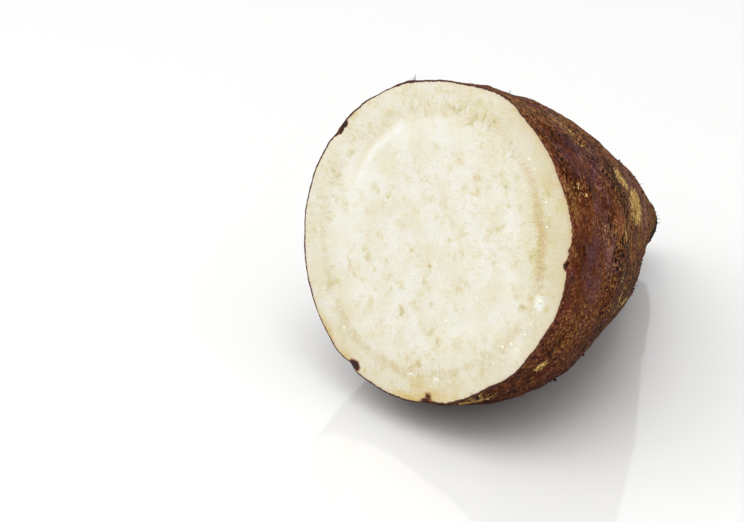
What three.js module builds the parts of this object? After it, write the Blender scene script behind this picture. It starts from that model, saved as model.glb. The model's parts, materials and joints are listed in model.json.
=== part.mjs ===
// Boniato half: the root end of a tropical white sweet potato, cut straight across and lying on its belly.
// Millimetres, +Z up. The cut face looks along -Y and leans back, and the root neck points along +Y.
// It grew as one piece of flesh and skin, so it is one closed solid in one mesh.

import * as THREE from 'three';
import { mergeVertices } from 'three/addons/utils/BufferGeometryUtils.js';

// Driving dimensions.
const CUT_RADIUS = 41.1;          // mean radius of the cut face
const CUT_CENTRE_HEIGHT = 47.1;   // centre of the cut face above the board
const CUT_LEAN = 19.6;            // degrees that the cut face tips back, and the body's axis tips down
const BODY_LENGTH = 98.3;         // from the cut face to where the flesh ends, along the axis

// The flesh tapers as (1 - t ^ TAPER_FULLNESS) ^ TAPER_POWER, where t runs from 0 at the cut to 1 at its end.
const TAPER_FULLNESS = 1.94;
const TAPER_POWER = 0.87;
const SWELL = 0.047;              // how much the shoulder swells behind the cut, as a share of the radius
const SWELL_END = 0.5;            // t where the swelling has died away

// The woody neck, where the thin root broke off, grows out of the flesh and narrows to its tip.
const NECK_BASE_RADIUS = 9;
const NECK_TIP_RADIUS = 6;
const NECK_LENGTH = 8;            // past the end of the flesh
const NECK_RISE_START = 0.6;      // t where the neck begins to lift the flesh
const NECK_RISE_END = 0.9;
const NECK_TAPER_START = 0.7;
const NECK_BLEND = 4;             // higher makes a sharper crease between flesh and neck
const NECK_DOME_SHARE = 0.92;     // the neck rounds over to this share of a full dome, then breaks off flat

// The axis isn't straight. Each pair is [sideways, up the cut face], in mm.
const DRIFT = [-4.2, 1.4];        // where the axis has wandered to at the end of the body
const BOW = [0, -2.6];            // its bend at half length
const NECK_BEND = [-0.18, -0.26]; // extra slope of the neck, mm per mm
const NECK_BEND_START = 0.93;     // t where that slope begins

// The cross-section isn't round: [cosine, sine] share of the radius for each count of lobes,
// at the cut and at the root end. It changes evenly between them.
const LOBES = [
  { count: 2, atCut: [0.018, 0.025], atRoot: [0.017, 0.015] },
  { count: 3, atCut: [0, 0.008], atRoot: [-0.06, 0.03] },
];

// Mesh density.
const SIDES = 48;
const BODY_RINGS = 22;
const RING_CROWDING = 1.5;        // above 1, rings crowd towards the root end, where the taper is steep
const NECK_RINGS = 3;

const { clamp, lerp, smoothstep, degToRad } = THREE.MathUtils;

// Share of CUT_RADIUS that the round section has at a distance s along the axis.
function sectionShare(s) {
  const t = s / BODY_LENGTH;
  const taper = (1 - clamp(t, 0, 1) ** TAPER_FULLNESS) ** TAPER_POWER;
  const swelling = 1 + SWELL * Math.sin(Math.PI * clamp(t / SWELL_END, 0, 1)) ** 2;
  const tip = 1 + NECK_LENGTH / BODY_LENGTH;
  const narrowing = clamp((t - NECK_TAPER_START) / (tip - NECK_TAPER_START), 0, 1);
  const neckRadius = lerp(NECK_BASE_RADIUS, NECK_TIP_RADIUS, narrowing);
  const neck = neckRadius / CUT_RADIUS * smoothstep(t, NECK_RISE_START, NECK_RISE_END);
  const joined = ((taper * swelling) ** NECK_BLEND + neck ** NECK_BLEND) ** (1 / NECK_BLEND);
  const dome = clamp((s - BODY_LENGTH) / NECK_LENGTH, 0, 1) * NECK_DOME_SHARE;
  return joined * Math.sqrt(1 - dome ** 4);
}

// How far the lobes push the skin in or out at an angle round the axis, as a share of the radius.
function lobeShare(angle, s) {
  const t = clamp(s / BODY_LENGTH, 0, 1);
  let share = 1;
  for (const { count, atCut, atRoot } of LOBES) {
    share += lerp(atCut[0], atRoot[0], t) * Math.cos(count * angle);
    share += lerp(atCut[1], atRoot[1], t) * Math.sin(count * angle);
  }
  return share;
}

// Sideways place of the axis: direction 0 is across the cut face, 1 is up it.
function axisOffset(direction, s) {
  const t = s / BODY_LENGTH;
  const pastBend = Math.max(0, s - NECK_BEND_START * BODY_LENGTH);
  return DRIFT[direction] * t + BOW[direction] * 4 * t * (1 - t) + NECK_BEND[direction] * pastBend;
}

// Profile of a straight, round body: middle of the cut face, rim, flesh, neck, middle of its broken end.
function profile() {
  const stations = [];
  for (let ring = 0; ring <= BODY_RINGS; ring++) {
    stations.push(BODY_LENGTH * (1 - (1 - ring / BODY_RINGS) ** RING_CROWDING));
  }
  for (let ring = 1; ring <= NECK_RINGS; ring++) {
    stations.push(BODY_LENGTH + NECK_LENGTH * ring / NECK_RINGS);
  }
  return [
    new THREE.Vector2(0, 0),
    ...stations.map((s) => new THREE.Vector2(CUT_RADIUS * sectionShare(s), s)),
    new THREE.Vector2(0, BODY_LENGTH + NECK_LENGTH),
  ];
}

// The lathe turns the round body about Y. Each point then takes its lobes and the bends of the axis,
// the whole leans forward onto the board, and the belly flattens where it touches it.
function boniatoHalf() {
  const turned = new THREE.LatheGeometry(profile(), SIDES);
  turned.deleteAttribute('normal');
  turned.deleteAttribute('uv');
  const geometry = mergeVertices(turned);

  const lean = new THREE.Matrix4().makeRotationX(-degToRad(CUT_LEAN));
  const position = geometry.getAttribute('position');
  const point = new THREE.Vector3();
  for (let i = 0; i < position.count; i++) {
    point.fromBufferAttribute(position, i);
    const s = point.y;
    const angle = Math.atan2(point.z, point.x);
    const radius = Math.hypot(point.x, point.z) * lobeShare(angle, s);
    const across = radius * Math.cos(angle) + axisOffset(0, s);
    const up = radius * Math.sin(angle) + axisOffset(1, s);
    point.set(across, s, up).applyMatrix4(lean);
    position.setXYZ(i, point.x, point.y, Math.max(0, point.z + CUT_CENTRE_HEIGHT));
  }
  geometry.computeVertexNormals();
  return geometry;
}

const skin = new THREE.MeshStandardMaterial({ color: 0x6b3f33, roughness: 0.7, metalness: 0 });
const boniato = new THREE.Mesh(boniatoHalf(), skin);
boniato.name = 'boniato_half';

// The origin is on the board, under the middle of the piece.
const middle = new THREE.Box3().setFromObject(boniato).getCenter(new THREE.Vector3());
boniato.position.set(-middle.x, -middle.y, 0);

const part = new THREE.Group();
part.add(boniato);

export default part;
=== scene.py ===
import json
import math
import bmesh
import bpy
import numpy as np
from mathutils import Matrix, Vector


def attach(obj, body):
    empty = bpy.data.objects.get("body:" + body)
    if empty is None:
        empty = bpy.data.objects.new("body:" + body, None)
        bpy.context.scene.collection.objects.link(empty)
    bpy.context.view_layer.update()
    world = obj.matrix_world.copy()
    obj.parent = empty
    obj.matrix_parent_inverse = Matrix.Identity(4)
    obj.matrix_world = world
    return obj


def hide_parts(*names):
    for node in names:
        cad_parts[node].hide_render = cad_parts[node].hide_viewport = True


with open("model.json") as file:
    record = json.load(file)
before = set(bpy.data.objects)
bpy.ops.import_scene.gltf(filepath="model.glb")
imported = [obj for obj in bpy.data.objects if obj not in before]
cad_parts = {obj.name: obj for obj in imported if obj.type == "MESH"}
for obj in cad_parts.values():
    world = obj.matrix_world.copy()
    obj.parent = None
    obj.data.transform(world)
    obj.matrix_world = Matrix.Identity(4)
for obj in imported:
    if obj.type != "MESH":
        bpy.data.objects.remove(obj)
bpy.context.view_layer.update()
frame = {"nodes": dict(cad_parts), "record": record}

# ----------------------------------------
# The cut root half. A tropical white sweet potato, cut straight across: firm cream flesh inside a
# thin, corky, maroon-brown skin, one piece as it grew. It lies on its belly, the cut face tipped
# back and the woody neck, where the thin root broke off, pointing away.

MM = 0.001
cut_mount = next(m for m in frame["record"]["mounts"] if m["name"] == "cut_face")
to_neck = -np.array(cut_mount["axis"])  # along the root, from the cut into the flesh
across = np.array((1.0, 0.0, 0.0))  # level, across the cut face
up_face = np.cross(across, to_neck)  # up the cut face
on_cut = np.array(cut_mount["pos_m"])

# The CAD solid is a lathe of rings of 48 points, with a middle point at either end. The rings are
# told apart by their distance from the cut, and lined up by their first points.
RING_POINTS = 48
IN_CUT_PLANE, RING_GAP, OFF_MIDDLE = 0.02 * MM, 0.3 * MM, 1 * MM
cad_points = np.array([v.co for v in frame["nodes"]["boniato_half"].data.vertices])
cad_points = np.unique(np.round(cad_points, 7), axis=0)
depth = (cad_points - on_cut) @ to_neck
rim = cad_points[np.abs(depth) < IN_CUT_PLANE]
face_middle = rim[np.linalg.norm(rim - rim.mean(0), axis=1) > 5 * OFF_MIDDLE].mean(0)
level = cad_points - face_middle - np.outer(depth, to_neck)
upper = np.sort(depth[level @ up_face > 0])
stations = [group.mean() for group in np.split(upper, np.where(np.diff(upper) > RING_GAP)[0] + 1)]
nearest = np.abs(depth[:, None] - np.array(stations)).argmin(1)
rings = []
for k in range(len(stations)):
    ring = cad_points[nearest == k]
    ring = ring[np.linalg.norm(ring - np.median(ring, axis=0), axis=1) > OFF_MIDDLE]
    spoke = ring - ring.mean(0)
    ring = ring[np.argsort(np.arctan2(spoke @ up_face, spoke @ across))]
    if rings:
        start = np.linalg.norm(ring - rings[-1][0] - to_neck * (stations[k] - stations[k - 1]), axis=1)
        ring = np.roll(ring, -start.argmin(), axis=0)
    rings.append(ring)
assert {len(ring) for ring in rings} == {RING_POINTS}

# The cage closes both ends, the face with rings that are shares of the first one's radius.
FACE_RINGS = (0.2, 0.45, 0.67, 0.84, 0.965)
face_middle, neck_middle = rings[0].mean(0), rings[-1].mean(0)
face_layers = [face_middle[None]] + [face_middle + (rings[0] - face_middle) * share for share in FACE_RINGS]
layers = face_layers + rings + [neck_middle[None]]
first = np.cumsum([0] + [len(layer) for layer in layers])
quads = []
for k in range(len(layers) - 1):
    for j in range(RING_POINTS):
        quads.append([first[n] + (j + i) % len(layers[n])
                      for n, steps in ((k, (0, 1)), (k + 1, (1, 0))) for i in steps[:len(layers[n])]])

SKIN, FLESH = 0, 1
flesh_quads = len(face_layers) * RING_POINTS
cage = bpy.data.meshes.new("boniato_half_cage")
cage.from_pydata(np.concatenate(layers).tolist(), [], quads)
cage.polygons.foreach_set("material_index", [FLESH] * flesh_quads + [SKIN] * (len(quads) - flesh_quads))
cage.polygons.foreach_set("use_smooth", [True] * len(quads))
shape = bmesh.new()
shape.from_mesh(cage)
bmesh.ops.recalc_face_normals(shape, faces=shape.faces)
crease = shape.edges.layers.float.new("crease_edge")
for edge in shape.edges:
    if len({face.material_index for face in edge.link_faces}) == 2:
        edge[crease] = 1.0
shape.to_mesh(cage)
shape.free()


def placed(name, data):
    """A new object in the scene."""
    made = bpy.data.objects.new(name, data)
    bpy.context.collection.objects.link(made)
    return made


half = placed("boniato_skin_and_flesh", cage)
smooth = half.modifiers.new("Even out the rings", "SUBSURF")
smooth.levels = smooth.render_levels = 3


def bake_modifiers(obj):
    """Turns the object's modifiers into its plain mesh."""
    evaluated = obj.evaluated_get(bpy.context.evaluated_depsgraph_get())
    mesh = bpy.data.meshes.new_from_object(evaluated)
    obj.modifiers.clear()
    old, obj.data = obj.data, mesh
    mesh.name = obj.name
    bpy.data.meshes.remove(old)


bake_modifiers(half)

# Every point gets its place on the skin, in mm, for the relief and the materials to read:
# the turn round the root, the run of the skin from the rim, and how far the nearest rim is.
mesh = half.data
count = len(mesh.vertices)


def read(items, name, width=1, kind=np.float32):
    """One property of all the items as an array, with a row for each if it has more than one number."""
    values = np.empty(len(items) * width, kind)
    items.foreach_get(name, values)
    return values.reshape(-1, width).astype(float) if width > 1 else values


def put(name, values, target=mesh):
    """Stores one value or vector for each point of a mesh, which is the half's unless another is named."""
    kind, key = ("FLOAT_VECTOR", "vector") if values.ndim == 2 else ("FLOAT", "value")
    target.attributes.new(name, kind, "POINT").data.foreach_set(key, values.astype(np.float32).ravel())


points = read(mesh.vertices, "co", 3)
normals = read(mesh.vertex_normals, "vector", 3)
corner_point = read(mesh.loops, "vertex_index", kind=np.int32)
sides_of = read(mesh.polygons, "loop_total", kind=np.int32)
corner_slot = np.repeat(read(mesh.polygons, "material_index", kind=np.int32), sides_of)
is_flesh, is_skin = np.zeros(count, bool), np.zeros(count, bool)
is_flesh[corner_point[corner_slot == FLESH]] = True
is_skin[corner_point[corner_slot == SKIN]] = True
on_rim, flesh_only = is_flesh & is_skin, is_flesh & ~is_skin

depth = (points - on_cut) @ to_neck / MM
ring_depth = np.array([((ring - on_cut) @ to_neck).mean() for ring in rings]) / MM
ring_middle = np.array([ring.mean(0) for ring in rings])
ring_radius = np.array([np.linalg.norm(r - r.mean(0), axis=1).mean() for r in rings]) / MM
run_at_ring = np.concatenate([[0], np.cumsum(np.hypot(np.diff(ring_depth), np.diff(ring_radius)))])
spine = np.stack([np.interp(depth, ring_depth, ring_middle[:, i]) for i in range(3)], 1)
spoke = points - spine
x_face, y_face = spoke @ across / MM, spoke @ up_face / MM
turn = np.arctan2(y_face, x_face)
radius = np.hypot(x_face, y_face)
run = np.interp(depth, ring_depth, run_at_ring)
mean_radius = np.interp(depth, ring_depth, ring_radius)
NEAR_END, FAR = 0.05, 1e3  # mm: on the neck's flat end, and further than any point
end_cap = depth > ring_depth[-1] - NEAR_END
run[end_cap] = run_at_ring[-1] + (ring_radius[-1] - radius[end_cap]).clip(0)
mean_radius[end_cap] = radius[end_cap]

order = np.argsort(turn[on_rim])
rim_turn, rim_radius = turn[on_rim][order], radius[on_rim][order]
rim_radius_here = np.interp(turn, rim_turn, rim_radius, period=2 * math.pi)
inside_rim = rim_radius_here - radius
from_rim = np.where(is_flesh, -inside_rim, run)
from_rim[on_rim] = 0


def around(radius, along):
    """The places at those distances from the root's middle and along it."""
    return np.stack([radius * np.cos(turn), radius * np.sin(turn), along], 1)


lathe = around(mean_radius, run)
lathe[flesh_only] = np.stack([x_face, y_face, np.zeros(count)], 1)[flesh_only]
put("lathe_mm", lathe)
put("from_rim_mm", from_rim)

# The relief moves the skin along its normal, but the rim only within the cut, and the flesh near
# the rim goes with it. It dies away where the belly touches the board.
NORMAL_AT, CLEAR_AT = 4.0, 5 * MM  # from the rim, and above the board
FADE_INWARD = 6  # the power by which it fades inside the rim
rim_share = (radius / rim_radius_here).clip(0, 1)
put("relief_place", np.where(flesh_only[:, None], around(rim_radius_here, np.zeros(count)), lathe))
level_out = spoke - np.outer(spoke @ to_neck, to_neck)
level_out /= np.linalg.norm(level_out, axis=1)[:, None].clip(1e-9)
leave_rim = np.clip(from_rim / NORMAL_AT, 0, 1)[:, None]
out = level_out * (1 - leave_rim) + normals * leave_rim
out[flesh_only] = level_out[flesh_only] * (rim_share[flesh_only] ** FADE_INWARD)[:, None]
clear = np.clip(points[:, 2] / CLEAR_AT, 0, 1)
put("relief_out", out * (clear ** 2 * (3 - 2 * clear))[:, None])

round_radius = np.where(flesh_only, rim_radius_here, mean_radius)
run_from_rim = np.where(flesh_only, 0, run)


def on_skin(angle, s):
    """Steps round and along the skin, in mm, from the place at that angle and distance from the cut."""
    off = (np.degrees(turn) - angle + 180) % 360 - 180
    return np.radians(off) * round_radius, run_from_rim - np.interp(s, ring_depth, run_at_ring)


def on_face(x, y):
    """Steps across and up the cut face, in mm."""
    return x_face - x, y_face - y


def spread(place_mm, table):
    """For each row, its height and how far every point is from its spot, 1 being the spot's edge. A row is
    the spot's two coordinates, its half sizes along them in mm, its height if not 1, its slant in degrees."""
    for a, b, half_a, half_b, *more in table:
        height, slant = more + [1, 0][len(more):]
        step_a, step_b = place_mm(a, b)
        c, s = math.cos(math.radians(slant)), math.sin(math.radians(slant))
        yield height, np.hypot((step_a * c + step_b * s) / half_a, (step_b * c - step_a * s) / half_b)


def spots(place_mm, table):
    """A field that is 1 in the middle of each spot, 0.5 at its edge and 0 at twice its size."""
    return np.maximum.reduce([height * (1 - far / 2).clip(0, 1) for height, far in spread(place_mm, table)])


def swells(place_mm, table):
    """A sum of soft swellings, whose heights are in mm, below 0 for a hollow."""
    return sum(height * np.exp(-far ** 2 / 2) for height, far in spread(place_mm, table))


LONGEST_STEP = 60  # mm: a longer one has gone round the wrong side of the root


def off_path(place_mm, path):
    """How far each point is, in mm, from the path through those places."""
    steps = [place_mm(a, b) for a, b in path]
    nearest = np.full(count, FAR)
    for (a0, b0), (a1, b1) in zip(steps, steps[1:]):
        way_a, way_b = a0 - a1, b0 - b1
        t = ((a0 * way_a + b0 * way_b) / (way_a ** 2 + way_b ** 2).clip(1e-9)).clip(0, 1)
        over_seam = np.abs(way_a) > LONGEST_STEP
        nearest = np.minimum(nearest, np.hypot(a0 - t * way_a, b0 - t * way_b) + FAR * over_seam)
    return nearest


def ridge(place_mm, path, half_width, height=1.0):
    """A soft ridge along the path, or a furrow if its height is below 0."""
    return height * np.exp(-(off_path(place_mm, path) / half_width) ** 2 / 2)


def shifted(path, a, b):
    """The path moved by that much."""
    return [(x + a, y + b) for x, y in path]


def round_face(table):
    """A value that changes with the turn round the face, between rows of an angle and a value."""
    return np.interp(np.degrees(turn), *zip(*table))


# Folds, dents and nicks that the growing root and the knife left, raised or sunk by their height in mm.
FURROW = [
    (58, 19), (51, 16.7), (45, 15.2), (37, 14.8), (33, 15.2), (28.7, 16.1), (24.6, 18), (20.7, 21),
    (15.8, 21), (9, 20.5), (4, 19.9), (-1.6, 20.4), (-7.9, 22.9), (-12, 28), (-17, 35), (-30, 42),
    (-50, 47), (-75, 48),
]
sculpted = sum(ridge(on_skin, path, half_width, height) for path, half_width, height in (
    (FURROW, 1.3, -0.55), (shifted(FURROW[5:14], -2, 5), 2.6, 0.35),
    ([(-37, 24), (-37, 31), (-40, 40)], 2.6, 0.3),
    ([(92, 21), (81, 25), (75, 31), (70, 37), (66, 46), (64.5, 56), (60, 64), (50, 70), (40, 68)], 6, -0.5),
    ([(100, 30), (112, 42), (130, 47), (150, 44), (175, 50)], 1.6, -0.45),
    ([(-110, 18), (-125, 26), (-150, 28), (-175, 22)], 1.5, -0.4),
)) + swells(on_skin, [
    (75, 11, 6, 6, -0.5), (65, 19, 6, 6, -0.4), (55, 26, 4, 5, -0.6), (50, 34, 5, 5, -0.25),
    (47, 46, 6, 6, -0.35), (38, 55, 3.5, 4, -0.5), (14, 50, 3.5, 5.5, -1), (17, 60, 2.5, 3.5, -0.4),
    (8, 69, 4, 8, -1.9), (67, 50, 3, 5, -1.2), (48, 73, 4, 5, -0.8), (60, 94, 5, 6, 1),
    (30, 101, 5, 5, -0.5), (-14, 101, 4, 5, -0.3), (-32, 38, 6, 6, -0.3), (-25, 46, 3, 5, -0.4),
    (-9, 46, 4, 6, 0.45), (-16, 26, 3, 4, -0.3), (40, 66, 5, 2.5, 0.35), (30, 70, 5, 4, 0.4),
    (23.5, 0, 2.2, 2.5, 0.6), (12.3, 0, 0.9, 1.4, -0.8), (31, 0, 4, 3, 0.4), (72, 0, 5.5, 2.6, 1.15),
    (80, 0, 3, 3, 0.5), (-31, 0, 3, 3, 0.5), (-45, 0, 3.5, 3, -0.45), (-4, 0, 5, 3, 0.3),
    (152, 0, 1, 1.2, -0.15), (157, 0, 1.3, 1.2, -0.35), (-111, 0, 1.6, 2, -0.9), (-73, 0, 1.2, 1.2, -0.6),
    (-124, 0, 2, 1.5, -0.3), (60, 86, 10, 1.8, -0.8), (0, 88, 10, 1.8, -0.8), (120, 86, 10, 1.8, -0.8),
    (200, 86, 10, 1.8, -0.8), (19, 8.4, 0.5, 0.5, -0.35), (44.5, 21.5, 0.8, 0.8, -0.4),
])
put("sculpted_mm", sculpted)

# The knife left a low ridge in the upper left of the cut face, and waves of 0.05 mm all over it.
KNIFE_RIDGE = [(-26.2, 6), (-25.3, 12), (-23, 17), (-20.7, 19.6), (-19.3, 21.2), (-17.2, 23.8)]
FLAT_AT_RIM = 3.0  # mm inside the rim, where the waves die away
lift = ridge(on_face, KNIFE_RIDGE, 0.8, 0.14) + ridge(on_face, shifted(KNIFE_RIDGE, -1.6, 1.3), 1.2, -0.04)
lift += 0.05 * np.sin(x_face / 2.3 + 0.4 * np.sin(y_face / 5)) + 0.04 * np.sin(y_face / 1.9 + x_face / 7)
lift *= np.clip(inside_rim / FLAT_AT_RIM, 0, 1)
points[flesh_only] -= np.outer(lift[flesh_only] * MM, to_neck)
mesh.vertices.foreach_set("co", points.astype(np.float32).ravel())

# Where the bark was scraped off the yellow wood.
put("scraped", np.maximum.reduce([spots(on_skin, [
    (45.3, 33, 1.1, 2.8, 0.9), (42.8, 33.6, 1.2, 5.4, 0.95), (41, 34, 0.8, 4.6, 1.05),
    (38, 46, 1.6, 4.6, 1.5), (34, 44, 1.8, 5.6, 1.6), (30, 42, 1.6, 5.2, 1.5), (27.6, 40.5, 1, 3, 1.1),
    (37, 7, 1.7, 0.7, 0.64, 12), (35, 9, 0.9, 0.5, 0.62), (23.4, 15.3, 1.7, 0.4, 0.75, 10),
    (22.6, 27, 1.4, 0.5, 1.6, 5), (7, 29, 1, 0.55, 1.2, 5), (-0.5, 35.5, 1.5, 0.75, 1.6),
    (-28, 8.8, 1.3, 1.3, 1.7, 25), (-26.5, 10, 0.8, 0.8, 1.4), (-25, 8, 0.7, 0.7, 1.2),
    (-51, 1.6, 2.6, 0.4, 1, 15), (-58, 6, 5, 2.6, 0.85), (33, 72, 2.2, 1, 0.6), (57.5, 7.9, 0.35, 0.18),
    (128, 22, 3.2, 1.4, 0.9, 20), (140, 52, 2.6, 1, 0.9, -15), (-150, 36, 2.2, 3, 0.8, 30),
    (100, 60, 2.5, 1, 0.9, 10),
]), ridge(on_skin, [(-8.8, 34), (-7.8, 39), (-7, 45)], 0.65, 0.9),
    ridge(on_skin, [(63.5, 16.6), (61, 18.4), (58.4, 18), (56.4, 17.2), (54, 18.8)], 0.33, 1.2)]))
# Black in the notches, the furrow and over the broken neck: partly dark torn tissue, partly painted
# shade in these hollows and under the neck.
put("stained", np.maximum(spots(on_skin, [
    (19, 8.4, 0.35, 0.35), (44.5, 21.5, 0.7, 0.7), (13, 14, 0.4, 0.4), (12.5, 0.3, 0.7, 0.8),
    (17, 24, 2, 1.1, 0.8), (44, 4.2, 4.5, 0.8, 0.6, 6), (-109, 0, 2.4, 1.2), (155, 0, 2, 1),
    (46.8, 4.5, 1.4, 0.7, 0.8), (8.8, 20, 1.5, 0.9, 0.6), (47, 16.7, 0.35, 0.35, 0.9), (-15, 101, 12, 7),
    (-100, 97, 9, 6, 0.8), (12, 75, 2.2, 5),
]), ridge(on_skin, FURROW[6:16], 0.9, 0.5)))
# Where the ochre scurf lies thick and rough (above 0) or the smooth bark shows (below 0).
put("scurfy", spots(on_skin, [
    (74, 7, 7, 5, 1.1), (60, 18, 7, 5, 1.1), (-2, 36, 9, 9, 0.9), (37.5, 7.5, 2.6, 2, 1.1),
    (-42, 10, 14, 7, 0.15), (60, 40, 8, 8, 0.5), (26, 76, 8, 13, 1.2), (44, 26, 6, 3.5), (32, 30, 4, 4),
    (22, 18, 3, 2.5), (22, 27, 4, 4, 1.2), (12, 28, 4, 4, 0.9), (35, 2.5, 4, 1.5, 1.2),
    (140, 30, 20, 14, 0.8), (-140, 40, 20, 14, 0.7),
]) - spots(on_skin, [
    (12, 9.5, 8, 6.5, 1.5), (48, 10, 8, 6, 1.2), (25, 5.5, 6.5, 4, 1.3), (28, 23, 2.5, 2.5, 1.2),
    (35, 20, 3.5, 2.2, 0.9), (17, 17.5, 5, 2.2, 1.3), (30, 9.5, 4, 2.5, 1.2), (5, 14, 6, 5),
    (38, 15.5, 6, 2.5, 1.2), (16, 16.5, 3, 3), (-28, 12, 7, 6, 0.3), (100, 12, 12, 8, 0.8),
    (-80, 18, 14, 10, 0.7), (180, 20, 14, 12, 0.7),
]))
# Where the dark pits crowd.
put("pitted", spots(on_skin, [
    (10, 27, 4.5, 4), (4, 31, 4, 4, 0.9), (33, 27, 2.5, 2.5, 0.9), (21, 26, 3, 3, 0.8), (38, 22, 4, 3, 0.7),
    (-2, 24, 4, 4, 0.5), (29, 8.5, 2, 1.5, 0.6), (45, 4, 5, 1.4, 0.9), (44, 27, 4, 2.5, 0.6),
    (36, 12, 3, 1.2, 0.7), (6, 44, 5, 6, 0.9), (-12, 34, 5, 4, 0.5), (150, 38, 12, 8, 0.6),
    (-120, 60, 14, 8, 0.6),
]))
# Where the bark is lighter (above 0) or darker than elsewhere.
put("lightened", spots(on_skin, [
    (32, 3, 4.5, 1.8, 2.6), (27, 9.5, 3.5, 3), (45, 13, 2.6, 2.2, 0.9), (13, 1.5, 3, 1.5, 1.6),
    (20, 0.1, 26, 0.4, 2.2), (-9, 10, 4, 4, 1.8), (-8, 4, 4, 2.5, 1.8), (26, 24.5, 3.4, 3, 2.1),
    (30, 37, 3, 4, 0.7), (21, 17, 2.6, 2, 1.8), (17.5, 18.5, 3, 1.5, 1.6), (27, 56, 5, 7, 0.7),
    (22, 76, 7, 12, 0.9), (22, 47, 4, 5), (-6, 14, 11, 7, 1.3), (-16, 14, 9, 7, 1.4),
    (-7, 4.5, 4, 2.5, 1.6), (-28, 14, 8, 6, 0.9), (-3, 21, 4.5, 4, 1.6), (3, 5, 4, 3),
    (20, 38, 4.5, 5, 0.9), (6, 15.5, 6, 2.5, 0.9), (70, 9, 8, 4, 0.3), (38, 15.5, 6, 1.3, 0.6),
    (130, 25, 12, 7, 0.6), (-130, 30, 12, 8, 0.5),
]) - spots(on_skin, [
    (19, 6.8, 3, 2, 0.5), (11, 6, 5, 5, 1.1), (1, 10, 4, 3, 0.7), (-20, 10, 5, 4, 0.4),
    (59, 8, 5.5, 4.2, 1.4), (52, 8, 5, 3, 0.8), (44, 3.5, 3, 2, 0.9), (50, 23, 4, 3, 0.9),
    (10, 28, 5, 4, 1.8), (46, 27, 3, 2.5, 1.7), (41, 11.6, 3, 2.2, 0.9), (33, 27.5, 3, 3, 1.1),
    (29, 16.5, 3, 1.4, 0.6), (25, 18, 2.4, 1.6, 1.5), (40, 6, 3, 2, 1.1), (8, 28.5, 3.5, 3, 0.9),
    (50, 16, 3, 3, 0.6), (32, 27, 2.5, 2, 0.9), (12, 22.5, 3, 2, 1.5), (2, 22, 5, 1.6, 0.5),
    (1, 39.5, 5, 3.5, 1.1), (100, 40, 10, 8, 0.7), (-90, 45, 12, 8, 0.6),
]))
# How strongly the fibres show round the root: most towards the neck, from 22 mm off the rim.
FIBRES_FROM = 22
put("fibrous", 0.45 + 0.75 * np.clip((run - FIBRES_FROM) / FIBRES_FROM, 0, 1) + 0.5 * spots(on_skin, [
    (66, 12, 9, 6), (-30, 6, 8, 4), (26, 25, 5, 4), (58, 22, 6, 5),
]))
# Above 0 the bark is redder, below 0 more purple. On the upper flank, 10 to 60 degrees round and 6 to
# 25 mm from the cut, the purple-grey is partly painted sheen.
put("reddened", spots(on_skin, [
    (26, 6, 8, 4, 1.25), (68, 9, 6, 4, 0.7), (46, 28, 3.5, 3.5, 1.4), (25, 23.5, 4.5, 3, 1.5),
    (33, 28, 4, 3.5), (38, 31, 4, 3.5), (8, 28, 5, 4, 0.9), (20, 28, 4, 4, 0.9), (10, 38, 5, 6, 0.6),
    (18, 22, 3, 3, 0.6), (33, 2.5, 4, 1.5), (20, 0.1, 26, 0.5, 2), (120, 30, 14, 9, 0.9),
    (-110, 30, 14, 9, 0.8),
]) - spots(on_skin, [
    (14, 9.5, 6, 5, 1.9), (46, 17, 5.5, 5, 2), (47, 9, 4, 4, 0.8), (34, 15, 4, 3, 0.5), (17, 17, 4, 3, 1.8),
    (60, 12, 8, 8), (50, 6, 4, 3, 1.1), (44, 13, 3, 3, 1.4), (32, 13, 3, 3, 0.6), (31, 19, 3, 3, 0.7),
    (52, 24, 5, 4, 1.1), (-33, 26, 6, 4, 0.6), (15, 20, 5, 3, 1.6), (30, 52, 8, 7, 0.5),
    (55, 45, 9, 12, 1.1), (90, 22, 12, 9), (-70, 30, 12, 9, 0.6), (160, 20, 12, 9, 0.9),
]))
# Painted shade: the underside and a band along the lower flank are darker, where less light reaches them.
DARKENS_FROM, DARKENS_OVER = 0.05, 0.6  # by the upward part of the normal
faces_down = np.clip((DARKENS_FROM - normals[:, 2]) / DARKENS_OVER, 0, 1)
put("shaded", np.maximum(faces_down, ridge(on_skin, [(-60, 10), (-45, 20), (-30, 32), (-12, 47)], 5, 0.5)))
# Brown and yellow stains on the cut face, most of them at the rim.
put("browned", spots(on_face, [
    (-35.5, 19.1, 0.9, 0.7, 1.5, 50), (-36.1, 17.2, 0.9, 0.5, 1.2, 60), (-37.5, 15.8, 0.9, 0.4, 1, 50),
    (-13.9, -38.3, 1.4, 1, 1, 10), (-15.3, -38.6, 0.8, 0.7), (-12.4, -38, 1, 1),
    (11.9, -37, 1.2, 1.1, 0.72), (11.6, -38.3, 1.5, 0.6, 1.1), (38.9, 16.6, 0.3, 0.6, 0.8),
    (40.2, 12.4, 0.3, 0.8, 0.8), (41, 8.4, 0.4, 0.9), (33.4, 5.4, 0.35, 0.35, 0.6),
    (23.9, -30.6, 0.3, 0.3, 0.8),
]))
put("yellowed", np.maximum(spots(on_face, [
    (-24.5, -34, 5, 1.6, 1, -48), (-17, -37.2, 2.6, 1.4, 0.8, -20), (11.5, -37.2, 6.5, 2.2, 0.9, 28),
    (6.5, -38.8, 5, 1, 1, 8), (8.4, -34.6, 3, 2, 0.6), (-33.2, 22.4, 1.4, 1.4, 0.7),
]), ridge(on_face, shifted(KNIFE_RIDGE, -1.9, 1.5), 0.7, 0.3)))
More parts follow.
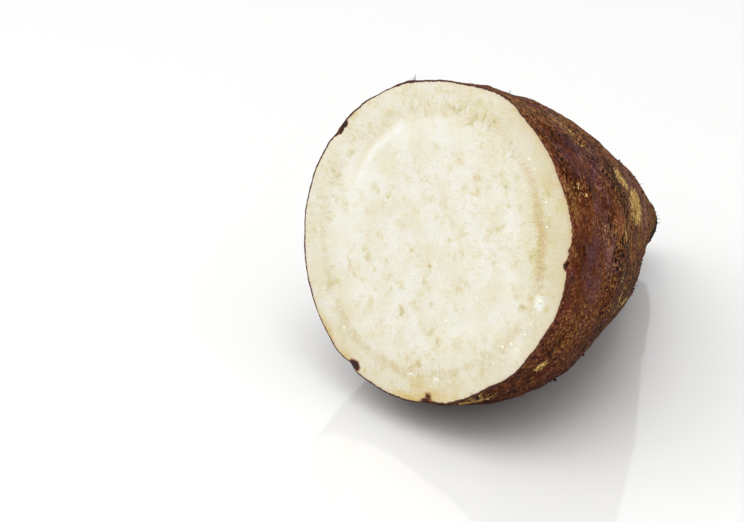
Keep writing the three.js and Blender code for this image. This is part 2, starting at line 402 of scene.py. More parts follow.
# Clusters of vessel dots that stand out on the face.
put("dotted", spots(on_face, [
    (-9.4, -38, 0.6, 0.6, 2.6), (-13.5, -23.4, 1.3, 1.9), (-6, -25.1, 1.6, 0.9), (-2.8, -19, 1.2, 1.6),
    (-12.4, -19.2, 0.9, 0.9), (-4.6, -4.1, 0.6, 0.6), (2.2, -5.5, 0.6, 0.5), (-22.3, -13.7, 0.9, 0.9),
    (-19.2, -14.5, 0.8, 1.2), (-13.9, -13.6, 0.8, 0.8), (-11.7, -8.8, 0.7, 0.7), (-8.8, -31.3, 1.2, 0.8),
    (6.3, -29.3, 0.8, 1.2), (10, -22.2, 0.6, 1.6), (-26.9, -21.7, 1.2, 0.9), (-4.2, 34.1, 0.8, 0.7, 0.6),
    (1.9, 35.2, 1.6, 0.7, 0.6), (7.3, 33.4, 1.6, 0.9, 0.5), (15.2, 27.7, 1.2, 1.4), (14.1, 30.9, 1, 0.9),
    (1.3, 26.2, 0.6, 0.6), (10, 15.7, 1.6, 1), (2.9, 12.5, 0.7, 0.7), (17.4, 14.2, 0.7, 0.7),
    (2.9, 5.6, 0.7, 0.7), (12.4, 6.4, 0.8, 0.7), (20.3, 23.7, 0.9, 0.9), (26.8, 13.3, 0.9, 0.9),
    (-21.1, 7.2, 1.5, 1.2), (-16.3, 6.5, 0.9, 0.7), (-10.7, 17.5, 0.6, 0.6), (-8.9, 12.1, 0.8, 0.6),
    (30.8, 6.7, 0.5, 0.5),
]))
# Whiter flesh: a painted highlight along the knife ridge, painted wet glints at the lower right and
# under some sap beads, and paler starch in patches elsewhere.
put("chalky", np.maximum(spots(on_face, [
    (-25.5, 8, 5.5, 2.6, 0.8, 62), (-28.5, 7, 3.5, 6, 0.6), (35.8, -2.5, 1, 1.5, 1.3, 10),
    (33.4, -8.5, 1.5, 3, 0.4), (33.2, -14.8, 1.5, 2.6, 0.7), (27.5, -18.5, 2, 2.4, 0.3),
    (-21.3, -6.1, 0.5, 0.5), (-19.4, -30.3, 0.6, 0.4), (-27, 0, 4.5, 11, 0.55), (-8, 27.5, 9, 3.5, 0.5),
    (-17, 22.5, 7, 3.5, 0.5, 38), (12.6, -2, 3, 3, 0.5), (26.7, -2.4, 2.5, 3.5, 0.45),
    (17, -17.5, 8, 3.5, 0.5, 20), (-19, -20, 3.5, 3.5, 0.45), (-25, -26, 3.5, 4, 0.45),
    (4.9, -33.1, 1.3, 0.4, 1, 20), (3.6, -4.8, 0.45, 0.45), (13, -31.3, 0.8, 0.5), (20, -27, 3, 2, 0.3, 20),
]), ridge(on_face, KNIFE_RIDGE, 0.8, 0.8)))
# How much the ring of vessels shows, how much deeper it runs on the right, and how warm the rind is.
put("ringed", round_face([
    (-180, 0.1), (-150, 0.25), (-125, 0.45), (-105, 0.3), (-80, 0.35), (-60, 0.4), (-40, 0.25), (-24, 0.3),
    (-12, 0.2), (0, 0.4), (6, 0.8), (14, 1), (28, 0.9), (42, 0.6), (60, 0.25), (90, 0.18), (140, 0.2),
    (180, 0.1),
]))
put("ring_in_mm", round_face([(-5, 0), (5, 0.3), (12, 0.9), (22, 1.2), (37, 1.2), (55, 0.6), (75, 0)]))
put("rind_warmth", round_face([
    (-180, 0.16), (-150, 0.2), (-125, 0.5), (-100, 0.55), (-75, 0.42), (-55, 0.4), (-30, 0.5), (-15, 0.55),
    (0, 0.8), (20, 1), (60, 0.8), (80, 0.4), (110, 0.22), (140, 0.16), (180, 0.16),
]))


def colour(hex_value):
    """sRGB hex to linear RGBA."""
    parts = [int(hex_value[i:i + 2], 16) / 255 for i in (1, 3, 5)]
    return tuple(c / 12.92 if c <= 0.04045 else ((c + 0.055) / 1.055) ** 2.4 for c in parts) + (1.0,)


def plug(tree, value, target):
    """Gives an input a value, a hex colour, or what comes from a socket or from a node's first output."""
    if isinstance(value, bpy.types.Node):
        value = next(s for s in value.outputs if s.enabled)
    if isinstance(value, bpy.types.NodeSocket):
        tree.links.new(value, target)
    else:
        target.default_value = colour(value) if isinstance(value, str) and value[0] == "#" else value


def node(tree, kind, links=None, stops=None, **settings):
    """Adds a node of that kind: settings are its properties, links what its inputs get, by their names or
    numbers, and stops the places and hex colours of its ramp."""
    families = ("ShaderNode", "GeometryNode", "FunctionNode", "Node")
    made = tree.nodes.new(next(f + kind for f in families if hasattr(bpy.types, f + kind)))
    for name, value in settings.items():
        setattr(made, name, value)
    for key, value in (links or {}).items():
        named = [s for s in made.inputs if s.name == key and s.enabled]
        plug(tree, value, named[0] if named else made.inputs[key])
    for k, (at, hex_value) in enumerate(stops or []):
        ramp = made.color_ramp.elements
        stop = ramp[k] if k < 2 else ramp.new(at)
        stop.position, stop.color = at, colour(hex_value)
    return made


def weighted_sum(tree, start, *terms):
    """A chain of nodes that adds to the start each term's value times its weight."""
    for value, weight in terms:
        start = node(tree, "Math", {0: value, 1: weight, 2: start}, operation="MULTIPLY_ADD")
    return start


def laid_over(tree, under, over, value, start, end, most=1, masks=(), soft=True, **settings):
    """One colour laid over another: its share grows to the most as the value goes from start to end, softly
    or in a straight line, and is less where a mask is below 1."""
    share = node(tree, "MapRange", {"Value": value, "From Min": start, "From Max": end, "To Max": most},
                 interpolation_type="SMOOTHSTEP" if soft else "LINEAR")
    for mask in masks:
        share = node(tree, "Math", {0: share, 1: mask}, operation="MULTIPLY")
    return node(tree, "Mix", {"Factor": share, "A": under, "B": over}, data_type="RGBA", **settings)


def material(name, values):
    """A new node material, with its tree and its shader, whose sockets get the values."""
    made = bpy.data.materials.new(name)
    made.use_nodes = True
    shader = made.node_tree.nodes["Principled BSDF"]
    for key, value in values.items():
        plug(made.node_tree, value, shader.inputs[key])
    return made, made.node_tree, shader


def finish_with(tree, shader, tint, height, strength, bump_mm):
    """Gives the shader its colour, and bumps that are too fine for the mesh."""
    bump = node(tree, "Bump", {"Height": height, "Strength": strength, "Distance": bump_mm * MM})
    plug(tree, tint, shader.inputs["Base Color"])
    plug(tree, bump, shader.inputs["Normal"])


# Dried corky root skin: matt, grained from dark pits through maroon bark to torn ochre scurf, purple or
# red where the bark is bare, with thin fibres round the root, and yellow wood where it was scraped. The
# purple-grey on the upper flank is partly painted sheen.
skin, tree, shader = material("Dried corky root skin", {"IOR": 1.45, "Specular IOR Level": 0.02})
place = node(tree, "Attribute", attribute_name="lathe_mm").outputs["Vector"]
scraped, stained, scurfy, reddened, shaded, pitted, fibrous, lightened = (
    node(tree, "Attribute", attribute_name=name).outputs["Fac"] for name in (
        "scraped", "stained", "scurfy", "reddened", "shaded", "pitted", "fibrous", "lightened"))
wander = node(tree, "TexNoise", {"Vector": place, "Scale": 1 / 11, "Detail": 2})
wander_mm = node(tree, "VectorMath", {0: wander.outputs["Color"], 1: (5, 5, 11)}, operation="MULTIPLY")
bent = node(tree, "VectorMath", {0: place, 1: wander_mm}, operation="ADD")

# Noise drawn out round the root: where it is read, how much shorter a step round the root counts, and
# its scale, detail and roughness.
grain, cover, streak, tint = (
    node(tree, "TexNoise", {"Vector": node(tree, "Mapping", {"Vector": at, "Scale": (squeeze, squeeze, 1)}),
                            "Scale": scale, "Detail": detail, "Roughness": roughness})
    for at, squeeze, scale, detail, roughness in (
        (place, 0.65, 1 / 0.62, 2, 0.8), (bent, 0.8, 1 / 5, 4, 0.6),
        (bent, 0.2, 1.1, 3, 0.6), (bent, 0.4, 1 / 2.6, 3.5, 0.7)))
ragged_mm = node(tree, "VectorMath", {0: grain.outputs["Color"], 1: (0.6, 0.6, 0.6)}, operation="MULTIPLY")
flake_place = node(tree, "VectorMath", {0: place, 1: ragged_mm}, operation="ADD")
flakes = node(tree, "TexVoronoi", {"Vector": flake_place, "Scale": 1 / 0.45})
flake = node(tree, "SeparateColor", {"Color": flakes.outputs["Color"]}).outputs
tone = node(tree, "TexNoise", {"Vector": place, "Scale": 1 / 13, "Detail": 3})

# How light the bark is at each grain: the sum of its coarse, streaky, fine and flaky unevenness, and
# stronger where the scurf is rough.
streak_off = node(tree, "Math", {0: streak, 1: 0.5}, operation="SUBTRACT")
height_sum = weighted_sum(
    tree, -1.67, (grain, 2.2), (flake["Red"], 0.44), (cover, 0.7), (streak_off, fibrous))
rough_share = node(tree, "MapRange", {"Value": scurfy, "From Min": -1, "To Min": 0.45, "To Max": 1.5})
# The painted shade darkens the bark where it faces down and along the lower flank.
lightness_with_shade = weighted_sum(tree, 0.51, (height_sum, rough_share), (lightened, 0.13), (shaded, -0.2))
surface = node(tree, "ValToRGB", {"Fac": lightness_with_shade}, stops=[
    (0.05, "#1d0b05"), (0.22, "#44200f"), (0.38, "#5d2f17"), (0.5, "#6e391d"),
    (0.62, "#7d4626"), (0.78, "#935e35"), (0.96, "#c08f54")])

# The bark's hue wanders between red, purple and olive in streaks of 2 to 3 mm, and leans one way in patches.
hue_sum = weighted_sum(tree, -1.5, (tone, 3), (reddened, 1))
tints = node(tree, "SeparateColor", {"Color": tint.outputs["Color"]}).outputs
# The purple-grey that this lays over the upper flank stands partly for painted sheen.
for channel, lean, share, most, hue in (
        ("Red", hue_sum, 0.9, 0.85, "#8a3c39"), ("Blue", hue_sum, -0.9, 0.8, "#6c474a"),
        ("Green", scurfy, 0.9, 0.65, "#5a4022")):
    hue_value = weighted_sum(tree, -2.5, (tints[channel], 5), (lean, share))
    surface = laid_over(tree, surface, hue, hue_value, 0.1, 1.3, most, soft=False, blend_type="COLOR")

# Single flakes of pale scurf, half a millimetre wide, and thin pale fibres over them.
pale_sum = weighted_sum(tree, lightness_with_shade, (flake["Green"], 0.6))
surface = laid_over(tree, surface, "#b58651", pale_sum, 1.14, 1.34, 0.7, soft=False)
fibre_place = node(tree, "Mapping", {"Vector": bent, "Scale": (0.2, 0.2, 1)})
fibre_noise = node(tree, "TexNoise", {"Vector": fibre_place, "Scale": 0.9, "Detail": 3, "W": 2},
                   noise_dimensions="4D")
fibre_off = node(tree, "Math", {0: fibre_noise, 1: 0.53}, operation="SUBTRACT")
fibre_gap = node(tree, "Math", {0: fibre_off}, operation="ABSOLUTE")
fibre_some = node(tree, "MapRange", {"Value": lightness_with_shade, "From Min": 0.5, "From Max": 0.75},
                  interpolation_type="SMOOTHSTEP")
surface = laid_over(tree, surface, "#c79a5c", fibre_gap, 0.016, 0.004, 0.55, [fibre_some])

# Torn yellow wood where the bark is scraped off.
wood_sum = weighted_sum(tree, height_sum, (flake["Green"], 0.45), (streak_off, 1.2))
wood_light = node(tree, "MapRange", {"Value": wood_sum, "From Min": -0.25, "From Max": 0.6})
wood = node(tree, "ValToRGB", {"Fac": wood_light}, stops=[(0, "#63441c"), (0.42, "#c8943f"), (1, "#fad688")])
scrape_torn = weighted_sum(tree, scraped, (height_sum, 0.7))
surface = laid_over(tree, surface, wood, scrape_torn, 0.42, 0.66)

# Single dark pits, of the same size as the flakes, and black that is partly stain and partly painted
# shade in the hollows.
pit_sum = weighted_sum(tree, lightness_with_shade, (flake["Blue"], 0.6), (pitted, -0.35))
surface = laid_over(tree, surface, "#180a05", pit_sum, 0.52, 0.36, 0.85, soft=False)
# The black here is partly stain and partly painted shade in the hollows.
stain_and_shade_torn = weighted_sum(tree, stained, (height_sum, -0.5))
surface = laid_over(tree, surface, "#1a0d08", stain_and_shade_torn, 0.35, 0.65, 0.92)
gloss = node(tree, "MapRange",
             {"Value": lightness_with_shade, "From Min": 0.3, "From Max": 0.8, "To Min": 0.46, "To Max": 0.8})
plug(tree, gloss, shader.inputs["Roughness"])
finish_with(tree, shader, surface, height_sum, 1, 0.4)

# Fresh-cut starchy flesh: cream, moist and faintly translucent, blotched where vessels and starch
# gather, with a tan ring of vessels (the cambium) inside the skin and a warmer rind outside it.
RING_DEPTH = 7.1  # mm inside the rim
flesh, tree, shader = material("Fresh-cut cream flesh", {
    "Roughness": 0.36, "IOR": 1.4, "Subsurface Weight": 0.25, "Subsurface Radius": (1, 0.7, 0.4),
    "Subsurface Scale": 2 * MM})
place = node(tree, "Attribute", attribute_name="lathe_mm").outputs["Vector"]
from_rim_mm, browned, yellowed, dotted, chalky, ringed, ring_in_mm, rind_warmth = (
    node(tree, "Attribute", attribute_name=name).outputs["Fac"] for name in (
        "from_rim_mm", "browned", "yellowed", "dotted", "chalky", "ringed", "ring_in_mm", "rind_warmth"))
cloud = node(tree, "TexNoise", {"Vector": place, "Scale": 1 / 8, "Detail": 4, "Roughness": 0.6})
mottle = node(tree, "TexNoise", {"Vector": place, "Scale": 1 / 0.8, "Detail": 3, "Roughness": 0.7})
mottle_off = node(tree, "Math", {0: mottle, 1: 0.5}, operation="SUBTRACT")
body = laid_over(tree, "#eeebe1", "#e8e2cc", cloud, 0.38, 0.64)
body = laid_over(tree, body, "#d0cca0", mottle, 0.48, 0.76, 0.5, soft=False)

# The rind warms from the ring of vessels out to the skin.
rind_noise = weighted_sum(tree, from_rim_mm, (cloud, 2))
body = laid_over(tree, body, "#cfc094", rind_noise, -7.5, 0.5, 0.8, [rind_warmth], soft=False)

# Olive and tan dots and blots, 0.5 to 2 mm wide, where vessels are cut across; they gather in loose
# clusters and along the ring.
gather = node(tree, "TexNoise", {"Vector": place, "Scale": 1 / 7, "Detail": 2, "W": 4}, noise_dimensions="4D")
ring_wobble = weighted_sum(tree, -1.3, (gather, 2.6))
ring_off = weighted_sum(tree, RING_DEPTH, (from_rim_mm, 1), (ring_in_mm, 1), (ring_wobble, 1))
ring_gap = node(tree, "Math", {0: ring_off}, operation="ABSOLUTE")
near_ring = node(tree, "MapRange", {"Value": ring_gap, "From Min": 3.8, "From Max": 1},
                 interpolation_type="SMOOTHSTEP")
dot_noise = node(tree, "TexNoise",
                 {"Vector": place, "Scale": 1 / 2.1, "Detail": 2, "Roughness": 0.55, "W": 1},
                 noise_dimensions="4D")
dot_sum = weighted_sum(tree, dot_noise, (gather, 0.45), (near_ring, 0.035), (dotted, 0.16))
dot_colour = laid_over(tree, "#ccbe5a", "#ccb250", cloud, 0.44, 0.56, soft=False)
body = laid_over(tree, body, dot_colour, dot_sum, 0.72, 1, 0.44)
body = laid_over(tree, body, "#95833a", dot_sum, 0.92, 1.04, 0.3)

# The ring is a patchy tan line in a wide faint glow.
body = laid_over(tree, body, "#d2c486", ring_gap, 7.5, 1, 0.5, [ringed], soft=False)
ring_patch = node(tree, "MapRange", {"Value": mottle, "From Min": 0.3, "From Max": 0.62, "To Min": 0.25})
body = laid_over(tree, body, "#c29a4e", ring_gap, 2, 0.2, 0.62, [ringed, ring_patch])

# Short dashes that point at the middle, about 0.3 mm wide, where rows of vessels cross the ring.
ray_way = node(tree, "VectorMath", {0: place}, operation="NORMALIZE")
ray_far = node(tree, "VectorMath", {0: ray_way, "Scale": 46}, operation="SCALE")
ray_slow = node(tree, "VectorMath", {0: place, "Scale": 0.35}, operation="SCALE")
ray_place = node(tree, "VectorMath", {0: ray_far, 1: ray_slow}, operation="ADD")
ray_noise = node(tree, "TexNoise", {"Vector": ray_place, "Scale": 1, "Detail": 2})
ray_dark, ray_some = (
    node(tree, "MapRange", {"Value": value, "From Min": start, "From Max": end},
         interpolation_type="SMOOTHSTEP")
    for value, start, end in ((ray_noise, 0.54, 0.68), (gather, 0.4, 0.56)))
body = laid_over(tree, body, "#b3aa78", ring_gap, 4.5, 1, 0.45, [ray_dark, ray_some])

# Yellow stains, paler starch with a painted highlight and painted glints, a blush beside the skin, the
# skin's own dark edge, and brown spots.
yellow_sum = weighted_sum(tree, yellowed, (mottle_off, 0.8))
body = laid_over(tree, body, "#cfb45c", yellow_sum, 0.1, 0.9, 0.85, soft=False)
# The near white is paler starch, and a painted highlight along the knife ridge and painted glints.
starch_and_sheen_sum = weighted_sum(tree, chalky, (mottle_off, 1.2))
body = laid_over(tree, body, "#f6f6ef", starch_and_sheen_sum, 0.15, 0.9, 0.9, soft=False)
edge_wave = weighted_sum(tree, from_rim_mm, (mottle, 0.6))
blush_share = weighted_sum(tree, 0.1, (rind_warmth, 0.32))
body = laid_over(tree, body, "#cb9c6c", edge_wave, -1.1, 0.25, 1, [blush_share], soft=False)
skin_edge = weighted_sum(tree, edge_wave, (rind_warmth, -0.25))
body = laid_over(tree, body, "#4a1e10", skin_edge, -0.3, -0.11)
brown_sum = weighted_sum(tree, browned, (mottle_off, 0.7))
body = laid_over(tree, body, "#8a5226", brown_sum, 0.22, 0.5)
body = laid_over(tree, body, "#2c0b04", brown_sum, 0.46, 0.6)
finish_with(tree, shader, body, mottle, 0.6, 0.4)


def geometry_tree(name, inputs):
    """A geometry tree that takes those inputs beside the geometry, each of the kind named; and the sockets
    inside it that they come from."""
    made = bpy.data.node_groups.new(name, "GeometryNodeTree")
    for key, kind in {"Geometry": "Geometry", **inputs}.items():
        made.interface.new_socket(key, in_out="INPUT", socket_type="NodeSocket" + kind)
    made.interface.new_socket("Geometry", in_out="OUTPUT", socket_type="NodeSocketGeometry")
    return made, node(made, "GroupInput").outputs


def shape_by(obj, tree, inputs):
    """Runs the tree over the object with those inputs, and leaves a plain mesh."""
    growth = obj.modifiers.new(tree.name, "NODES")
    growth.node_group = tree
    for socket in tree.interface.items_tree:
        if socket.name in inputs:
            growth[socket.identifier] = inputs[socket.name]
    bake_modifiers(obj)


# The relief tree: four layers of noise, each with its width along the root and its length round it, and
# the sculpted folds push the surface out or in. Every tree ends in Realize Instances and Set Material,
# because the export drops instances.
RELIEF_SIZES = {  # mm
    "Swelling height": 0.45, "Swelling width": 24.0,
    "Lump height": 0.6, "Lump width": 7.5,
    "Ridge height": 0.4, "Ridge spacing": 2.8, "Ridge length": 8.0,
    "Scurf height": 0.3, "Scurf width": 1.5,
}
relief, size = geometry_tree("Tuber relief", dict.fromkeys(RELIEF_SIZES, "Float"))
place = node(relief, "InputNamedAttribute", {"Name": "relief_place"}, data_type="FLOAT_VECTOR")
direction = node(relief, "InputNamedAttribute", {"Name": "relief_out"}, data_type="FLOAT_VECTOR")
height = 0
for tall, wide, long, seed, detail in (
        ("Swelling height", "Swelling width", "Swelling width", 3.1, 1),
        ("Lump height", "Lump width", "Lump width", 7.7, 1),
        ("Ridge height", "Ridge spacing", "Ridge length", 1.9, 2),
        ("Scurf height", "Scurf width", "Scurf width", 5.3, 2)):
    over_wide, over_long = (
        node(relief, "Math", {0: 1, 1: size[key]}, operation="DIVIDE") for key in (wide, long))
    stretch = node(relief, "CombineXYZ", {"X": over_long, "Y": over_long, "Z": over_wide})
    at = node(relief, "VectorMath", {0: place, 1: stretch}, operation="MULTIPLY")
    noise = node(relief, "TexNoise", {"Vector": at, "W": seed, "Scale": 1, "Detail": detail},
                 noise_dimensions="4D")
    height = weighted_sum(relief, height, (weighted_sum(relief, -1, (noise, 2)), size[tall]))
sculpted = node(relief, "InputNamedAttribute", {"Name": "sculpted_mm"})
height = weighted_sum(relief, height, (sculpted, 1))
in_metres = node(relief, "Math", {0: height, 1: MM}, operation="MULTIPLY")
shift = node(relief, "VectorMath", {"Vector": direction, "Scale": in_metres}, operation="SCALE")
moved = node(relief, "SetPosition", {"Geometry": size["Geometry"], "Offset": shift})
finished = node(relief, "RealizeInstances", {"Geometry": moved})
slot_number = node(relief, "InputMaterialIndex")
for number, finish in ((SKIN, skin), (FLESH, flesh)):
    half.data.materials.append(finish)
    here = node(relief, "Compare", {2: slot_number, 3: number}, data_type="INT", operation="EQUAL")
    finished = node(relief, "SetMaterial", {"Geometry": finished, "Selection": here, "Material": finish})
node(relief, "GroupOutput", {"Geometry": finished})
shape_by(half, relief, RELIEF_SIZES)
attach(half, "root")
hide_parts("boniato_half")

# ----------------------------------------
# Rootlets, stubs and neck strands: the fine feeding roots, dried to stiff brown hairs or broken off
# short, and the woody strands that tore where the thin root left the neck. All grew out of the skin.

grown = read(half.data.vertices, "co", 3)
grown_out = read(half.data.vertex_normals, "vector", 3)


def plant(tree, size, thing, stance, scale):
    """Ends a tree: the thing stands on every point, smooth, made real, and of the finish."""
    planted = node(tree, "InstanceOnPoints",
                   {"Points": size["Geometry"], "Instance": thing, "Rotation": stance, "Scale": scale})
    rounded = node(tree, "SetShadeSmooth", {"Geometry": planted})
    real = node(tree, "RealizeInstances", {"Geometry": rounded})
    finished = node(tree, "SetMaterial", {"Geometry": real, "Material": size["Finish"]})
    node(tree, "GroupOutput", {"Geometry": finished})


# One fibre: a bent stem that tapers to its tip, turned any way about the direction it grows in.
root_fibres, size = geometry_tree("Root fibres", {
    "Thickness": "Float", "Tip thickness": "Float", "Bend": "Float", "Seed": "Int", "Finish": "Material"})
way = node(root_fibres, "InputNamedAttribute", {"Name": "grow_way"}, data_type="FLOAT_VECTOR")
long_mm = node(root_fibres, "InputNamedAttribute", {"Name": "long_mm"})
tip = node(root_fibres, "CombineXYZ", {"X": size["Bend"], "Z": 1})
stem = node(root_fibres, "CurveQuadraticBezier",
            {"Resolution": 4, "Start": (0, 0, -0.15), "Middle": (0, 0, 0.5), "End": tip})
share = node(root_fibres, "SplineParameter")
taper = node(root_fibres, "MapRange", {"Value": share.outputs["Factor"], "To Min": size["Thickness"],
                                       "To Max": size["Tip thickness"]})
outline = node(root_fibres, "CurvePrimitiveCircle", {"Resolution": 5, "Radius": 0.5})
fibre = node(root_fibres, "CurveToMesh",
             {"Curve": stem, "Profile Curve": outline, "Scale": taper, "Fill Caps": True})
upright = node(root_fibres, "AlignRotationToVector", {"Vector": way}, axis="Z")
any_turn = node(root_fibres, "RandomValue", {"Min": 0, "Max": 2 * math.pi, "Seed": size["Seed"]})
twist = node(root_fibres, "AxisAngleToRotation", {"Axis": (0, 0, 1), "Angle": any_turn})
stance = node(root_fibres, "RotateRotation", {"Rotation": upright, "Rotate By": twist},
              rotation_space="LOCAL")
long_m = node(root_fibres, "Math", {0: long_mm, 1: MM}, operation="MULTIPLY")
plant(root_fibres, size, fibre, stance, long_m)


def grow_piece(name, tree, places, values, inputs):
    """A piece of the skin that the tree grows at those places, which carry the values."""
    seeds = bpy.data.meshes.new(name)
    seeds.from_pydata(places.tolist(), [], [])
    for key, numbers in values.items():
        put(key, numbers, seeds)
    piece = placed(name, seeds)
    shape_by(piece, tree, inputs)
    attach(piece, "root")


def skin_point(angle, s):
    """The number of the skin's point nearest to that angle and distance from the cut."""
    return np.where(is_skin, np.hypot(*on_skin(angle, s)), FAR).argmin()


# Dried root fibre: matt and woody, dark brown with paler flecks where the bark has rubbed off.
# Torn neck wood: matt tan strands, greyer where they have weathered.
fibre_finishes = []
for name, roughness, fleck_mm, stops in (
        ("Dried root fibre", 0.8, 0.9, [(0.38, "#1d0e07"), (0.55, "#45281a"), (0.72, "#8a6440")]),
        ("Torn neck wood", 0.75, 1.2, [(0.32, "#4a3322"), (0.52, "#8a6a47"), (0.7, "#c4a277")])):
    made, tree, shader = material(name, {"Roughness": roughness, "Specular IOR Level": 0.15})
    place = node(tree, "TexCoord").outputs["Object"]
    fleck = node(tree, "TexNoise", {"Vector": place, "Scale": 1 / (fleck_mm * MM), "Detail": 2})
    finish_with(tree, shader, node(tree, "ValToRGB", {"Fac": fleck}, stops=stops), fleck, 0.5, 0.1)
    fibre_finishes.append(made)
dry_fibre, torn_wood = fibre_finishes

chance = np.random.default_rng(11)
RIM_CLEAR, BOARD_CLEAR = 5, 8 * MM  # where loose fibres may grow: so far from the rim and the board
bark = np.flatnonzero(is_skin & (run > RIM_CLEAR) & (depth < ring_depth[-2]) & (points[:, 2] > BOARD_CLEAR))

# Stubs, first those up the side and at the rim, then others anywhere: angle, distance, length in mm.
STUBS = [
    (66, 47, 0.4), (51.5, 42, 0.4), (64, 57, 0.45), (50.5, 51.2, 0.4), (57, 65, 0.4), (56.5, 31, 0.4),
    (43.5, 58, 0.7), (60, 24, 0.5), (-51, 0.5, 1), (-38, 24, 0.7), (2, 66, 0.5), (-6, 52, 0.4),
    (62, 18, 0.5), (-30, 33, 0.6), (19, 8.4, 0.35), (12.5, 14, 0.4),
]
MORE_STUBS = 90
at = [skin_point(a, s) for a, s, _ in STUBS]
at = np.concatenate([at, chance.choice(bark, MORE_STUBS, replace=False)])
long_mm = np.concatenate([[m for _, _, m in STUBS], chance.uniform(0.2, 0.45, MORE_STUBS)])
ways = grown_out[at] + chance.normal(0, 0.25, (len(at), 3))
grow_piece("rootlet_stubs", root_fibres, grown[at], {"grow_way": ways, "long_mm": long_mm},
           {"Thickness": 1.2, "Tip thickness": 0.75, "Bend": 0.15, "Seed": 3, "Finish": dry_fibre})

# Hairs: angle, distance, length in mm, and how far each leans towards the neck.
HAIRS = [
    (115.5, 0.5, 1.5, -0.5), (116.3, 0.6, 1.2, 0.2), (117.5, 0.5, 0.7, -0.2), (52.5, 39.5, 0.9, 0.6),
    (48.5, 49, 0.8, 0.8), (58, 28, 0.8, 0.4), (45, 57, 0.8, 0.8), (-42, 20, 0.9, 0.3), (-3, 51, 1, 0.6),
]
MORE_HAIRS = 46
at = [skin_point(a, s) for a, s, *_ in HAIRS]
at = np.concatenate([at, chance.choice(bark, MORE_HAIRS, replace=False)])
long_mm = np.concatenate([[row[2] for row in HAIRS], chance.uniform(0.5, 1.3, MORE_HAIRS)])
lean = np.concatenate([[row[3] for row in HAIRS], chance.uniform(0.2, 1.2, MORE_HAIRS)])
ways = grown_out[at] + np.outer(lean, to_neck) + chance.normal(0, 0.3, (len(at), 3))
grow_piece("rootlet_hairs", root_fibres, grown[at], {"grow_way": ways, "long_mm": long_mm},
           {"Thickness": 0.18, "Tip thickness": 0.07, "Bend": 0.45, "Seed": 8, "Finish": dry_fibre})

# Strands over the end of the neck, torn off short. Those at its edge lean in over the end.
NECK_EDGE, STRANDS = 1.5, 150
end = np.flatnonzero(is_skin & (depth > ring_depth[-2] - NECK_EDGE))
at = chance.choice(end, STRANDS, replace=False)
edge_share = np.clip(radius[at] / ring_radius[-1], 0, 1)[:, None]
ways = (1 - edge_share) * grown_out[at] + edge_share * (0.35 * grown_out[at] - level_out[at]) + 0.3 * to_neck
ways += chance.normal(0, 0.18, (len(at), 3))
grow_piece("neck_strands", root_fibres, grown[at],
           {"grow_way": ways, "long_mm": chance.uniform(0.6, 1.5, len(at))},
           {"Thickness": 0.34, "Tip thickness": 0.12, "Bend": 0.25, "Seed": 5, "Finish": torn_wood})

# ----------------------------------------
# Sap beads: milky sap that welled from the cut vessels and stands as tiny wet white drops, most of
# them along the ring of vessels and at the lower right.

sap_beads, size = geometry_tree("Sap beads", {"Flatness": "Float", "Finish": "Material"})
way = node(sap_beads, "InputNamedAttribute", {"Name": "grow_way"}, data_type="FLOAT_VECTOR")
wide_mm = node(sap_beads, "InputNamedAttribute", {"Name": "wide_mm"})
drop = node(sap_beads, "MeshIcoSphere", {"Radius": 0.5, "Subdivisions": 2})
upright = node(sap_beads, "AlignRotationToVector", {"Vector": way}, axis="Z")
wide_m = node(sap_beads, "Math", {0: wide_mm, 1: MM}, operation="MULTIPLY")
high_m = node(sap_beads, "Math", {0: wide_m, 1: size["Flatness"]}, operation="MULTIPLY")
drop_size = node(sap_beads, "CombineXYZ", {"X": wide_m, "Y": wide_m, "Z": high_m})
plant(sap_beads, size, drop, upright, drop_size)

# Wet milky sap: white, faintly translucent and glossy, so that each drop carries a point of light.
milky_sap, tree, shader = material("Wet milky sap", {
    "Roughness": 0.2, "IOR": 1.5, "Subsurface Weight": 0.2, "Subsurface Scale": 0.3 * MM})
place = node(tree, "TexCoord").outputs["Object"]
milk = node(tree, "TexNoise", {"Vector": place, "Scale": 1 / (0.6 * MM), "Detail": 1})
tint = node(tree, "ValToRGB", {"Fac": milk}, stops=[(0.3, "#eeead2"), (0.7, "#f8f6e8")])
plug(tree, tint, shader.inputs["Base Color"])

# Across and up the face, and the width in mm; then smaller ones along the ring of vessels.
BEADS = [
    (22.7, 28.5, 0.8), (24.8, 26.7, 0.7), (30.5, 20.5, 0.8), (32.2, 18.1, 0.6), (32.4, 15, 0.7),
    (36, -2, 1.2), (35.2, -3.6, 0.9), (36.2, -0.9, 0.6), (35, -5.4, 0.5), (35.6, -7.4, 0.7),
    (11.2, -16.8, 0.9), (29.1, -16.2, 0.9), (31.4, -14.6, 1), (33.2, -15.4, 0.8), (34.6, -11, 0.8),
    (36.3, 0.5, 0.6), (-21.3, -6.1, 0.8), (-19.4, -30.3, 0.8), (3.6, -4.8, 0.6), (13, -31.3, 0.8),
    (30.2, -18.4, 0.7), (27.6, -21, 0.6), (25.9, -17.4, 0.5), (35.2, -8, 0.6), (4.9, -33.1, 0.8),
    (6.6, -32.4, 0.5),
]
whirl = np.radians(np.concatenate([chance.uniform(-70, 62, 18), chance.uniform(100, 250, 8)]))
off_ring = RING_DEPTH + chance.normal(0, 1, len(whirl))
far = np.interp(whirl, rim_turn, rim_radius, period=2 * math.pi) - off_ring
x, y, wide_mm = np.concatenate([np.array(BEADS), np.stack(
    [far * np.cos(whirl), far * np.sin(whirl), chance.uniform(0.2, 0.38, len(whirl))], 1)]).T
face = np.flatnonzero(flesh_only)
at = [face[np.hypot(x_face[face] - a, y_face[face] - b).argmin()] for a, b in zip(x, y)]
places = grown[at] + np.outer(x - x_face[at], across) * MM + np.outer(y - y_face[at], up_face) * MM
grow_piece("sap_beads", sap_beads, places, {"grow_way": grown_out[at], "wide_mm": wide_mm},
           {"Flatness": 0.55, "Finish": milky_sap})

# ----------------------------------------
# The board: a sheet of white acrylic, faintly glossy, that takes the shadow and a weak mirror image.

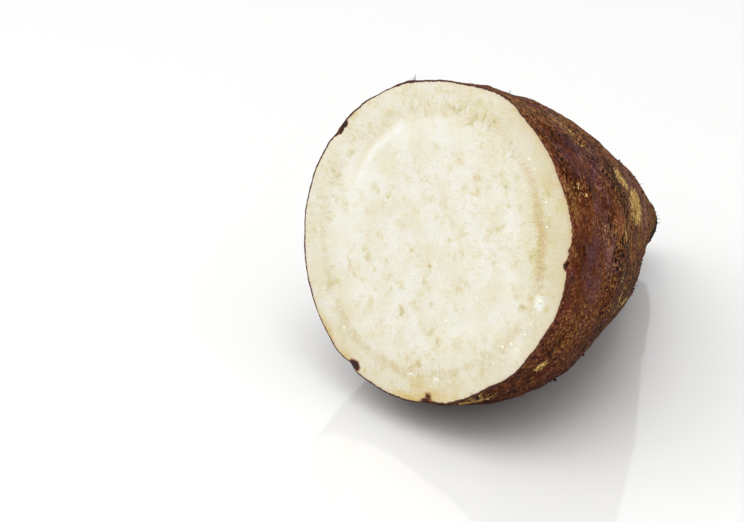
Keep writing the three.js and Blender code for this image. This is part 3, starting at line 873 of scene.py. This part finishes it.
REACH = 4.0
board_mesh = bpy.data.meshes.new("board")
board_mesh.from_pydata([(-REACH, -REACH, 0), (REACH, -REACH, 0), (REACH, REACH, 0), (-REACH, REACH, 0)],
                       [], [(0, 1, 2, 3)])
board = placed("board", board_mesh)
acrylic = material("White acrylic sheet", {"Base Color": "#f2f2f1", "Roughness": 0.07, "IOR": 1.7})[0]
board_mesh.materials.append(acrylic)

# ----------------------------------------
# Studio light: a white room and four softboxes, each a metre and a half from the root. The two at
# the front left light the cut face, the one overhead evens out the board.

world = bpy.data.worlds.new("White studio")
bpy.context.scene.world = world
world.use_nodes = True
room = world.node_tree.nodes["Background"].inputs
room["Color"].default_value, room["Strength"].default_value = colour("#ffffff"), 0.6
bpy.context.scene.view_settings.view_transform = "Standard"


def towards(turned, rise):
    """The direction of what stands that far round from the front and that high, in radians."""
    return Vector((math.sin(turned) * math.cos(rise), -math.cos(turned) * math.cos(rise), math.sin(rise)))


SOFTBOX_DISTANCE, SOFTBOX_SIDE = 1.5, 0.9
for name, turned, rise, watts in (
        ("Left softbox", -46, 50, 3), ("Front softbox", -1, 50, 4.6),
        ("Overhead softbox", 44, 75, 7.8), ("Back softbox", 224, 25, 1)):
    light = bpy.data.lights.new(name, "AREA")
    light.shape, light.size, light.energy = "SQUARE", SOFTBOX_SIDE, watts
    softbox = placed(name, light)
    to_light = towards(math.radians(turned), math.radians(rise))
    softbox.location = to_light * SOFTBOX_DISTANCE
    softbox.rotation_euler = to_light.to_track_quat("Z", "Y").to_euler()

# ----------------------------------------
# Camera: a 100 mm lens half a metre away, looking down at the cut face from the front right.

TURN, RISE = math.radians(44.22), math.radians(29.43)
back, right = towards(TURN, RISE), Vector((math.cos(TURN), math.sin(TURN), 0))
camera_data = bpy.data.cameras.new("Camera")
camera_data.lens, camera_data.sensor_width = 100.02, 36
camera = placed("Camera", camera_data)
camera.location = (0.29961, -0.3706, 0.29149)
camera.rotation_euler = Matrix((right, back.cross(right), back)).transposed().to_euler()
bpy.context.scene.camera = camera
